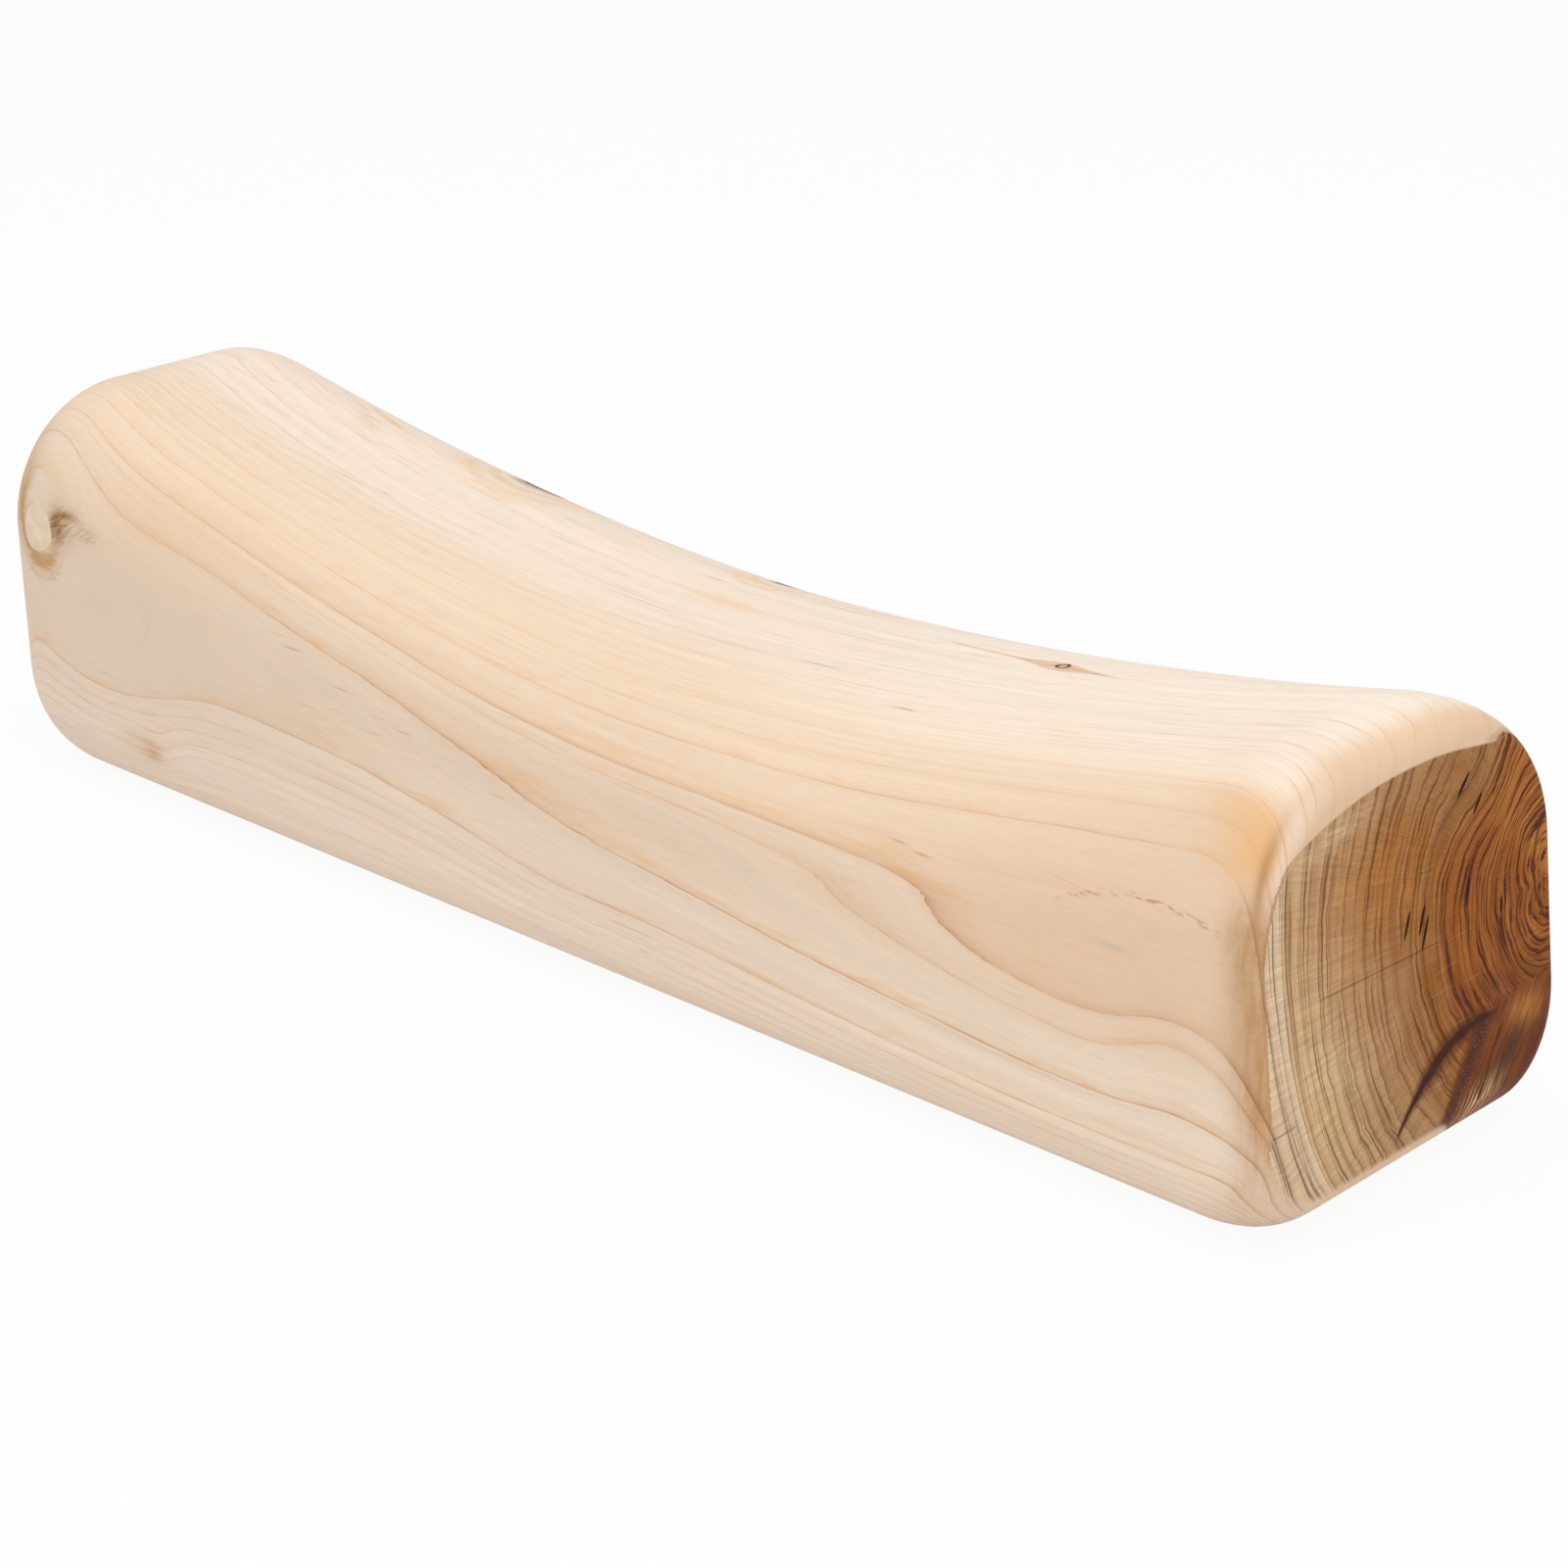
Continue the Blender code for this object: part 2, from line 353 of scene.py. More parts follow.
# %% [markdown]
# ## Splits in the sawn end
#
# As the heart of the bar dried, it opened in short splits along the rings. They are real gaps, so they are
# cut, not painted: each cutter is a sphere that is squeezed into a leaf less than a millimetre thick and
# laid along the split. All cutters go into one object, and one Boolean cuts everything at once. The
# cutters carry a bark material of their own, and the Boolean hands it to the walls that it makes, so that
# seams and splits are dark inside. Both materials are only named here and are drawn further down.

# %% Cut the pockets and the splits
SPLIT_DEPTH = 3.0 * MM
SPLIT_WIDTH = 0.9 * MM
SPLIT_FACES = (20, 12)
SHARP_ANGLE = math.radians(35)
SPLITS = [
    ((-3.2, 52.5), (-0.8, 58.2)),
    ((1.8, 52.0), (4.2, 58.0)),
    ((2.6, 48.6), (5.2, 55.4)),
    ((18.0, 52.8), (19.6, 59.2)),
    ((16.2, 75.8), (20.8, 80.2)),
    ((21.4, 71.0), (24.8, 74.8)),
    ((30.0, 47.5), (30.3, 51.2)),
]


def end_x(z):
    """Where the sawn right end lies at height z."""
    return LENGTH / 2 + lean(LENGTH / 2, z)


def add_split(shape, first, last):
    """A thin leaf along one split of the sawn end, given by its two tips in mm."""
    (y0, z0), (y1, z1) = first, last
    middle_y, middle_z = (y0 + y1) / 2 * MM, (z0 + z1) / 2 * MM
    half = math.hypot(y1 - y0, z1 - z0) / 2 * MM
    turn = Matrix.Rotation(math.atan2(z1 - z0, y1 - y0), 4, "X")
    place = Matrix.Translation((end_x(middle_z), middle_y, middle_z))
    squeeze = Matrix.Diagonal((SPLIT_DEPTH, half, SPLIT_WIDTH / 2, 1.0))
    around, along = SPLIT_FACES
    leaf = place @ turn @ squeeze
    bmesh.ops.create_uvsphere(shape, u_segments=around, v_segments=along, radius=1.0, matrix=leaf)


def cut(target, tool):
    """Takes the tool out of the target, keeps the result as a plain mesh, and removes the tool."""
    modifier = target.modifiers.new("cut", "BOOLEAN")
    modifier.operation = "DIFFERENCE"
    modifier.solver = "EXACT"
    modifier.material_mode = "TRANSFER"
    modifier.object = tool
    result = bpy.data.meshes.new_from_object(target.evaluated_get(bpy.context.evaluated_depsgraph_get()))
    target.modifiers.clear()
    target.data = result
    bpy.data.objects.remove(tool, do_unlink=True)


for first, last in SPLITS:
    add_split(cutters, first, last)
bmesh.ops.recalc_face_normals(cutters, faces=cutters.faces)
timber = bpy.data.materials.new("pale_timber")
bark = bpy.data.materials.new("bark_seam")
tools = add_object("cutters", cutters)
block.data.materials.append(timber)
tools.data.materials.append(bark)
cut(block, tools)
block.data.set_sharp_from_angle(angle=SHARP_ANGLE)
for piece in plugs.values():
    piece.data.set_sharp_from_angle(angle=SHARP_ANGLE)
print(f"block of {len(block.data.polygons)} faces after {len(knots)} pockets and {len(SPLITS)} splits")

# %% [markdown]
# ## Shader sums that read like sums
#
# Wood is one solid pattern, cut by the surface, so its figure is arithmetic on the place of a point. Chains
# of Math nodes are hard to read, so a small class wraps a socket and lets Python's operators add the nodes.
# `1 - mask` works too, because the reflected forms are there. Colours and vectors go through Mix and Vector
# Math instead, and any other node comes from the one method `node`.

# %% The socket class
class Shade:
    """One socket of the material being drawn, which takes part in Python sums."""

    tree = None

    def __init__(self, socket):
        self.socket = socket

    @classmethod
    def node(cls, kind, settings=None, inputs=None, output=0):
        """Adds any node: its settings first, then the values or links of its sockets."""
        made = cls.tree.nodes.new("ShaderNode" + kind)
        for name, value in (settings or {}).items():
            if name == "stops":
                cls.set_stops(made.color_ramp.elements, value)
            else:
                setattr(made, name, value)
        for name, value in (inputs or {}).items():
            if isinstance(value, Shade):
                cls.tree.links.new(value.socket, made.inputs[name])
            else:
                made.inputs[name].default_value = value
        return cls(made.outputs[output])

    @staticmethod
    def set_stops(elements, stops):
        """Gives a colour ramp its stops, as (position, grey value)."""
        while len(elements) < len(stops):
            elements.new(1.0)
        for element, (position, grey) in zip(elements, stops):
            element.position = position
            element.color = (grey, grey, grey, 1.0)

    @classmethod
    def sum(cls, operation, *terms):
        return cls.node("Math", {"operation": operation}, dict(enumerate(terms)))

    __add__ = __radd__ = lambda self, other: Shade.sum("ADD", self, other)
    __sub__ = lambda self, other: Shade.sum("SUBTRACT", self, other)
    __rsub__ = lambda self, other: Shade.sum("SUBTRACT", other, self)
    __mul__ = __rmul__ = lambda self, other: Shade.sum("MULTIPLY", self, other)
    __truediv__ = lambda self, other: Shade.sum("DIVIDE", self, other)
    __pow__ = lambda self, other: Shade.sum("POWER", self, other)
    __gt__ = lambda self, other: Shade.sum("GREATER_THAN", self, other)
    __neg__ = lambda self: Shade.sum("MULTIPLY", self, -1.0)
    __abs__ = lambda self: Shade.sum("ABSOLUTE", self)

    def rises(self, low, high):
        """0 below low, 1 above high, and a soft step between. Falls if low is above high."""
        span = {"Value": self, "From Min": low, "From Max": high}
        return Shade.node("MapRange", {"interpolation_type": "SMOOTHSTEP"}, span)

    def runs(self, low, high):
        """0 at low and below, 1 at high and above, and even between."""
        return Shade.node("MapRange", None, {"Value": self, "From Min": low, "From Max": high})


def mix(share, first, second, blend="MIX"):
    """One colour passing into another."""
    settings = {"data_type": "RGBA", "blend_type": blend}
    return Shade.node("Mix", settings, {0: share, 6: first, 7: second}, 2)


def length(first, second):
    """The distance that two offsets at right angles make."""
    return Shade.sum("SQRT", first * first + second * second)


def cloud(x, y, z, detail=2.0, rough=0.5):
    """Soft noise around 0, from about -0.5 to 0.5, at a place given in the noise's own waves."""
    place = Shade.node("CombineXYZ", None, {0: x, 1: y, 2: z})
    inputs = {"Vector": place, "Scale": 1.0, "Detail": detail, "Roughness": rough}
    return Shade.node("TexNoise", {"noise_dimensions": "3D"}, inputs) - 0.5


def bell(*offsets):
    """1 in the middle of a soft spot and 0 away from it; each offset is a distance over its reach."""
    total = offsets[0] * offsets[0]
    for offset in offsets[1:]:
        total = total + offset * offset
    return Shade.sum("EXPONENT", -total)


def paint(red, green, blue):
    """A colour as seen on screen, 0 to 255, as the linear values that a shader takes."""
    shares = [level / 255 for level in (red, green, blue)]
    linear = [s / 12.92 if s <= 0.04045 else ((s + 0.055) / 1.055) ** 2.4 for s in shares]
    return (*linear, 1.0)


print("shader sums ready")

# %% [markdown]
# ## The growth rings
#
# The tree's pith runs along the back of the bar, a little inside its back face. Every ring is a thin cone
# about it, so one number, the distance from the pith less a small taper, places a point in its year. The
# front face lies almost along the rings, and there a change of half a millimetre moves a line by a
# centimetre: that is why the lines wander on the front and run tight and straight on top. The sways are
# the few places where this tree grew unevenly, read off the real bar's lines.

# %% Distance from the pith
PITH_Y = 47.0
PITH_Z = 50.0
TRUNK_TAPER = 0.02
TAPER_RADIUS = 97.0
OUTER_RINGS = (70.0, 95.0)
CROOK_START = 100.0
CROOK = 12.0


def ring_distance(x, y, z):
    """Distance from the pith in mm, with this tree's taper, crook and sways, and the plain distance."""
    above = z - PITH_Z
    radius = length(y - PITH_Y, above)
    oval = abs(above) * (0.4 * bell(radius / 12) + 0.38 * bell(radius / 26) * y.rises(26, 40))
    outer = radius.rises(*OUTER_RINGS)
    past = Shade.sum("MAXIMUM", (x - CROOK_START) / 100, 0.0)
    tilt = Shade.sum("MAXIMUM", above, above * 0.4) * (past * past) * (CROOK / -97)
    left_sway = bell((x + 168) / 36) * (-2.7 + 1.0 * z.rises(60, 92))
    middle_sway = 0.35 * bell((x + 62) / 32)
    drop = -0.75 * bell((x - 132) / 35, (z - 53) / 15)
    swell = 1.2 * bell((x - 177) / 14, (z - 36) / 11)
    dip = -0.4 * bell(x / 25, (z - 20) / 14)
    round_knot = -1.1 * bell((x + 143) / 9, (z - 15) / 8)
    below = Shade.sum("MAXIMUM", 14 - z, 0.0)
    flare = 0.05 * (below * below)
    crowding = 6.5 * bell((y - 27) / 14, (z - 76) / 12) - oval
    sways = left_sway + middle_sway + drop + swell + dip + round_knot + tilt
    slow = cloud(x / 60, y / 16, z / 16, detail=1.0) * 0.22
    waver = cloud(x / 45, y / 6, z / 6) * 2.0 * (1 - outer)
    thread = cloud(x / 9, y / 1.1, z / 1.1) * 0.12
    cone = radius * (1 - TRUNK_TAPER / TAPER_RADIUS * x)
    ring = cone + (sways + slow + flare) * outer + crowding + waver + thread
    return ring, radius


print(f"pith at y {PITH_Y:.0f} mm, z {PITH_Z:.0f} mm")

# %% [markdown]
# ## Years
#
# Within a year the wood starts pale and open and ends tan and dense, then the next year starts with a sharp
# edge. So the distance is turned into a year count, and what is left after the whole years says how far the
# season has come. Two ramps hold the years: broad outer ones that the front face cuts, and inner ones that
# show on the sawn end. Each year has its own strength, since dry and wet summers differ.

# %% Years
OUTER_YEARS = [
    (85.0, 0.6), (87.4, 0.6), (90.3, 0.8), (94.1, 1.0), (95.1, 0.6), (97.4, 1.0), (100.1, 0.9),
    (101.0, 0.7), (101.8, 0.8), (102.8, 0.7), (103.7, 0.5), (105.3, 0.4), (106.5, 0.3),
]
INNER_YEARS = [
    (2.4, 0.2), (4.6, 0.3), (7.4, 0.6), (10.2, 1.0), (11.7, 0.5), (13.3, 1.0), (15.4, 1.0), (17.6, 0.6),
    (20.0, 0.7), (21.6, 0.5), (23.4, 0.3), (25.2, 0.6), (26.8, 0.3), (28.4, 0.7), (30.4, 0.7), (32.2, 0.4),
    (35.6, 1.0), (38.4, 0.3), (42.4, 0.9), (47.0, 0.4), (51.3, 0.5),
    (55.9, 0.6), (60.9, 0.7), (64.8, 0.5), (68.0, 0.8), (72.1, 0.5), (75.1, 0.8), (78.1, 0.6), (80.0, 0.7),
]
LAST_INNER = 84.0
LAST_OUTER = 107.0
MOST_YEARS = 32
BORDER_TOP = 86.7
BORDER_MIDDLE = 2.0


def season(ring, years, first, last):
    """How far a point's year has come, 0 to 1, and that year's strength."""
    span = last - first
    share = ring.runs(first, last)
    edges = [(0.0, 0.0)]
    edges += [((edge - first) / span, (n + 1) / MOST_YEARS) for n, (edge, _) in enumerate(years)]
    edges.append((1.0, (len(years) + 1) / MOST_YEARS))
    marks = [(0.0, years[0][1])]
    marks += [((edge - first) / span, strength) for (edge, _), (_, strength) in zip(years, years[1:])]
    count = Shade.node("ValToRGB", {"stops": edges}, {0: share}) * MOST_YEARS
    strength = Shade.node("ValToRGB", {"stops": marks}, {0: share})
    strength.socket.node.color_ramp.interpolation = "CONSTANT"
    return Shade.sum("FRACT", count), strength


class Cut:
    """The place where the surface cuts the tree: position in mm, facing, ring, season and sawn end."""

    def __init__(self):
        coords = Shade.node("TexCoord", output="Object")
        place = Shade.node("SeparateXYZ", None, {0: coords})
        self.x, self.y, self.z = [Shade(socket) / MM for socket in place.socket.node.outputs]
        normal = Shade(coords.socket.node.outputs["Normal"])
        facing = Shade.node("SeparateXYZ", None, {0: normal}).socket.node.outputs
        self.facing_x, self.facing_y, self.facing_z = [Shade(socket) for socket in facing]
        self.ring, self.radius = ring_distance(self.x, self.y, self.z)
        self.angle = Shade.sum("ARCTAN2", self.z - PITH_Z, PITH_Y - self.y)
        inner_age, inner_strength = season(self.ring, INNER_YEARS, 0.0, LAST_INNER)
        outer_age, outer_strength = season(self.ring, OUTER_YEARS, LAST_INNER, LAST_OUTER)
        outer = self.ring > LAST_INNER
        self.age = inner_age + outer * (outer_age - inner_age)
        self.strength = inner_strength + outer * (outer_strength - inner_strength)
        self.front = self.facing_y.rises(-0.3, -0.8)
        self.top = self.facing_z.rises(0.2, 0.7)
        fibres = cloud(self.x / 4, self.y / 4, self.z * 2.2)
        self.beside = self.facing_y.rises(-0.02, -0.25)
        self.right = self.x.rises(150, 180)
        branch = self.y.rises(6, 14) * self.z.rises(50, 40) * self.right
        heart = Shade.sum("MAXIMUM", self.ring.rises(48, 38) * self.y.rises(20, 30), branch)
        border = BORDER_TOP - 0.0045 * (self.y - BORDER_MIDDLE) ** 2
        above = (self.z - border).rises(-0.6, 0.6) * self.right * self.y.rises(42, 28)
        # Where the rounding faces up, or lies above the end's border, the end-grain mask is held back and
        # the pale side-grain colour stays.
        kept_pale = 1.15 * abs(self.facing_z) * (1 - heart) + 0.45 * above
        self.toward_end = abs(self.facing_x) + self.beside * 0.25 * fibres
        self.cut_across = self.toward_end - kept_pale + 0.2 * heart + 0.04 * self.beside
        self.under = self.facing_z.rises(-0.02, -0.12) * (1 - heart)
        self.sawn = self.cut_across.rises(0.68 - 0.2 * self.under, 0.78 + 0.17 * self.under)


print(f"{len(OUTER_YEARS)} outer years and {len(INNER_YEARS)} inner years")

# %% [markdown]
# ## Side grain
#
# Along the fibres the wood is cream with tan summer wood. On the front the years are broad: each one warms
# slowly to tan and stops at a thin orange line. On top they are cut across, so they are only faint
# hairlines. Fine noise that is stretched far along the bar stands for the fibres, and short dark dashes
# stand for resin ducts.

# %% Side grain
CREAM = paint(243, 226, 208)
TOP_CREAM_AND_SHEEN = paint(250, 237, 221)
WARM = paint(237, 213, 188)
PALE = paint(232, 211, 190)
SUMMER = paint(231, 189, 147)
LINE = paint(197, 138, 89)
STRAND = paint(222, 178, 142)
DASH = paint(160, 116, 92)


def side_grain(cut):
    x, y, z = cut.x, cut.y, cut.z
    near_bark = cut.ring.rises(84, 95)
    shown = 0.5 + 0.5 * near_bark + 1.1 * cut.facing_x.rises(0.05, 0.5) * (1 - near_bark)
    fine = cloud(x / 110, cut.ring * 1.1, y / 30, detail=4.0, rough=0.7)
    hair = cloud(x / 15, y * 1.6, z * 1.6)
    strand = cloud(x / 90, cut.ring * 1.9, y / 40, detail=3.0, rough=0.7)
    low = z.rises(46, 28)
    quiet = 1.0 - 0.35 * x.rises(-20, -130)
    tan = cut.strength * (cut.age**2 + 0.45 * bell(cut.age / 0.13)) * quiet
    broken = 0.35 + 0.65 * cloud(x / 26, cut.ring * 2, 3.0).rises(-0.2, 0.15)
    right = 0.5 * x.rises(60, 150) * (1 - low) * cut.beside
    thin = 0.45 * cut.age**24 + 0.55 * cut.age**60
    line = cut.strength * thin * broken * (1.0 + 0.3 * low + right)
    colour = mix(cut.ring.rises(62, 82), CREAM, WARM)
    colour = mix(cut.ring.rises(92, 98), colour, PALE)
    colour = mix(tan * shown * (0.52 - 0.2 * low - 0.18 * cut.top), colour, SUMMER)
    colour = mix(low * 0.3, colour, CREAM)
    # Where the top faces straight up on the right it turns paler and whiter: partly its own paler wood,
    # partly a painted sheen of the overhead light.
    colour = mix(cut.facing_z.rises(0.75, 0.98) * x.rises(0, 120) * 0.5, colour, TOP_CREAM_AND_SHEEN)
    colour = mix(strand.rises(0.03, 0.2) * (0.3 - 0.14 * cut.top), colour, STRAND)
    streak = cloud(x / 50, y * 1.3, z * 0.3 + 20, detail=3.0, rough=0.65).rises(0.04, 0.2)
    colour = mix(streak * cut.top * y.rises(-38, -20) * 0.4, colour, STRAND)
    colour = mix(line * shown * (1.0 + 1.6 * hair), colour, LINE)
    fibre = cloud(x / 6, y * 2.0, z * 2.0 + 13, detail=3.0, rough=0.7)
    tone = 1.0 + 0.26 * fine + 0.07 * hair + (0.06 + 0.09 * cut.front) * fibre
    colour = mix(1.0, colour, tone, "MULTIPLY")
    gate = cloud(x / 50, y / 14, z / 14).rises(-0.02, 0.14)
    duct = cloud(x / 13, y * 1.9, z * 1.9 + 40, detail=1.0).rises(0.16, 0.26)
    return mix(duct * gate * 0.22, colour, DASH), fine, hair


print("side grain from", len(INNER_YEARS) + len(OUTER_YEARS), "years")

# %% [markdown]
# ## The sawn end
#
# Cut across, the open pores drink light and look brown, and the heart is red-brown all through. The years
# are thin dark lines, the rays cross them as fine streaks that run out from the pith, and the saw left
# scratches along y. All of it is noise in the right coordinates: ring distance and angle for the wood, and
# plain y and z for the saw.

# %% Sawn end
END_HEART = paint(158, 88, 28)
END_MID = paint(150, 91, 30)
END_SAP = paint(222, 186, 142)
END_STRIP = paint(229, 201, 165)
END_WARM = paint(180, 112, 38)
END_LINE = paint(74, 26, 5)
END_GOLD = paint(196, 126, 54)
END_GLINT = paint(232, 200, 160)


def sawn_grain(cut):
    y, z = cut.y, cut.z
    fine = cloud(cut.ring * 1.25, cut.angle * 1.2, 0.0, rough=0.6)
    rays = cloud(cut.angle * 95, cut.radius / 11, 3.0)
    saw = cloud(y / 13, z * 2.1 + y * 0.12, 7.0)
    blotch = cloud(y / 13, z / 13, 11.0)
    paler = 0.16 * cut.angle.rises(0.45, 0.9)
    paler = paler + 0.2 * bell((cut.angle + 0.18) / 0.2) * cut.ring.rises(56, 68)
    colour = mix(cut.ring.runs(40, 90) + blotch * 0.5 + paler, END_MID, END_SAP)
    colour = mix(0.75 * bell((y + 8) / 23, (z - 67) / 16), colour, END_WARM)
    colour = mix(cut.ring.rises(84.8, 85.2), colour, END_STRIP)
    heart = (cut.ring + 5 * blotch).rises(41.0, 33.0)
    colour = mix(heart, colour, mix(cut.angle.rises(0.5, 1.1) * 0.6, END_HEART, END_GOLD))
    band = cloud(cut.ring * 0.45, cut.angle * 0.9, 2.0)
    colour = mix(band.rises(0.0, 0.22) * (0.22 + 0.2 * heart), colour, END_LINE)
    colour = mix((-band).rises(0.0, 0.22) * heart * 0.45, colour, END_GOLD)
    colour = mix((fine + 0.03 * heart).rises(0.06, 0.13) * (0.62 + 0.33 * heart), colour, END_LINE)
    light = mix(heart, END_GLINT, END_GOLD)
    colour = mix((-fine).rises(0.02, 0.14) * (0.12 + 0.2 * heart), colour, light)
    faded = 0.8 + 0.9 * cloud(cut.angle * 5, cut.ring * 0.7, 5.0)
    line = cut.strength * (1.15 * cut.age**9 + heart * cut.strength * cut.age**3 * 0.5) * faded
    colour = mix(cut.strength * cut.age**2 * (1 - heart) * 0.3, colour, END_MID)
    colour = mix(line * (0.85 + 0.35 * heart), colour, END_LINE)
    tone = 1.0 + 0.6 * rays + 0.36 * saw
    colour = mix(1.0, colour, tone, "MULTIPLY")
    scratch = cloud(y / 26, z * 1.7, 19.0, detail=1.0).rises(0.19, 0.23)
    return mix(scratch * 0.13, colour, END_GLINT), rays + saw - line * 0.5


print("sawn end ready")

# %% [markdown]
# ## Marks on the front face
#
# Around the pale knot at the left the fibres had to turn aside: a collar of ochre wood runs round its left
# and lower side, and a dark brushed patch with wisps lies on its right. Lower down a small knot is grown
# over. Each mark is a soft bell in millimetres, and noise that leans with the fibres gives it a torn edge.
# An image could hold such marks too, but bells stay clean at any size.

# %% Front marks
OCHRE = paint(190, 142, 84)
OLIVE = paint(150, 110, 66)
GREY_LOBE = paint(229, 208, 184)
GREY_PINK_AND_SHADE = paint(224, 202, 179)
GLOW = paint(226, 172, 110)
GOLD = paint(231, 178, 110)
RIGHT_TAN = paint(220, 190, 160)
LEFT_TAN = paint(232, 196, 158)
SMALL_KNOT = paint(206, 164, 126)
SMALL_CORE = paint(176, 130, 94)
DUCT = paint(184, 116, 92)
STAIN = paint(188, 178, 168)
FRONT_DASHES = [
    (-88, 56.6, 3.0), (-70, 51.0, 2.5), (-48, 46.0, 2.5),
    (-16, 39.0, 2.5), (103, 61.4, 3.0), (110, 60.6, 2.5),
]
DASH_WIDTH = 0.28
BEAN_X = -186.5
BEAN_Z = 68.0


def dashes(along, across, places):
    """Short thin strokes, each given by its middle and its half length."""
    total = 0.0
    for middle, beside, half in places:
        total = total + bell((along - middle) / half, (across - beside) / DASH_WIDTH)
    return total


def pale_knot_collar(cut, colour, hair):
    x, z = cut.x, cut.z
    across, up = (x - BEAN_X) / 7.3, (z - BEAN_Z) / 10.9
    reach = length(across, up) + 0.5 * hair
    lower_left = (0.55 - 0.5 * across - 0.55 * up).rises(0.0, 1.0)
    collar = bell((reach - 1.1) / 0.24) + 0.4 * bell((reach - 1.5) / 0.06)
    brush = cloud((x + 0.5 * z) * 0.25, (z - 0.5 * x) * 1.5, 0.0)
    patch = bell((x + 179.5) / 3.6, (z - 66.5) / 4.6) * (0.75 + 1.4 * brush)
    patch = patch + bell((x + 176) / 5.5, (z - 67.5) / 4.4) * (0.3 + 1.2 * brush)
    horn = 70.5 - 0.03 * (x + 174) ** 2
    wisps = bell((x + 167) / 4, (z - 67) / 1.8) * (0.3 + 1.5 * brush)
    wisps = wisps + bell((z - horn) / 1.1, (x + 175.5) / 5) * 0.6
    upper = length((x + 186.3) / 5.0, (z - 72) / 7.5) + 0.5 * hair
    lobe = upper.rises(1.3, 0.7) * 0.8
    colour = mix(cut.front * lower_left * collar * 0.85, colour, OCHRE)
    colour = mix(cut.front * lobe, colour, GREY_LOBE)
    dark = (patch + wisps) * (1 - lobe * 0.6)
    return mix(cut.front * dark, colour, OLIVE)


def front_marks(cut, colour, hair):
    x, z, front = cut.x, cut.z, cut.front
    # The lower left of the front turns grey-pink and darker: partly the wood's own tone, partly painted
    # shade where the light falls off to the left.
    colour = mix(front * bell((x + 150) / 58, (z - 46) / 22) * 0.45, colour, GREY_PINK_AND_SHADE)
    gilt = cut.age**4 * cloud(x / 22, z / 3, 5.0).rises(0.03, 0.2)
    colour = mix(front * gilt * cut.strength * 0.6, colour, GOLD)
    colour = mix(front * x.rises(60, 180) * z.rises(28, 44) * 0.45, colour, RIGHT_TAN)
    colour = mix(bell((x + 140) / 40, (z - 74) / 12) * front * 0.4, colour, LEFT_TAN)
    colour = mix(bell((x + 196) / 5, (z - 80) / 11) * front * 0.35, colour, OCHRE)
    glow = 0.75 * bell((x - 190) / 9, (z - 81) / 6) + 0.45 * bell((x - 181) / 10, (z - 87) / 4.5)
    colour = mix(glow * front.rises(0.0, 0.6), colour, GLOW)
    colour = mix(front * bell((x + 149) / 8, (z - 16) / 3.2) * (0.45 + 1.5 * hair), colour, SMALL_KNOT)
    colour = mix(front * bell((x + 145.5) / 3.0, (z - 14.8) / 2.4) * (0.4 + hair), colour, SMALL_CORE)
    colour = mix(front * bell((x - 160) / 5, (z - 56.6) / 0.8) * 0.4, colour, STAIN)
    height = 68.3 - 5.2 * ((x - 171) / 23) ** 2
    broken = cloud(x / 3, z * 1.2, 9.0, detail=1.0).rises(-0.05, 0.12)
    duct_row = bell((z - height) / 0.5) * x.rises(143, 152) * x.rises(188, 183) * broken
    strokes = dashes(x, z, FRONT_DASHES) * (0.7 + 2.0 * hair)
    colour = mix(front * (duct_row * 0.75 + strokes * 0.55), colour, DUCT)
    return pale_knot_collar(cut, colour, hair)


print(f"front marks with {len(FRONT_DASHES)} dashes")

# %% [markdown]
# ## Marks on the top
#
# The pin knot lies in a long spindle of tan wood, because the fibres part round it like water round a post.
# The two knots on the back edge have orange arcs round them for the same reason. A few tan patches and short
# grey strokes are scattered on the rest.

# %% Top marks
SPINDLE = paint(214, 156, 104)
SPINDLE_EDGE = paint(176, 116, 72)
ARC = paint(233, 188, 134)
TAN_PATCH = paint(240, 204, 160)
KNOT_SHADE = paint(128, 104, 88)
REAR_SHADE = paint(166, 130, 118)
PATCHES = [(-103, 20, 7, 4), (-82, 12.5, 12, 2.2), (4, 3.5, 11, 3)]
TOP_DASHES = [(-137, 19, 3), (-8, 13, 4), (51, -15, 5.5), (85, -25.5, 4), (-98, -9.5, 2)]


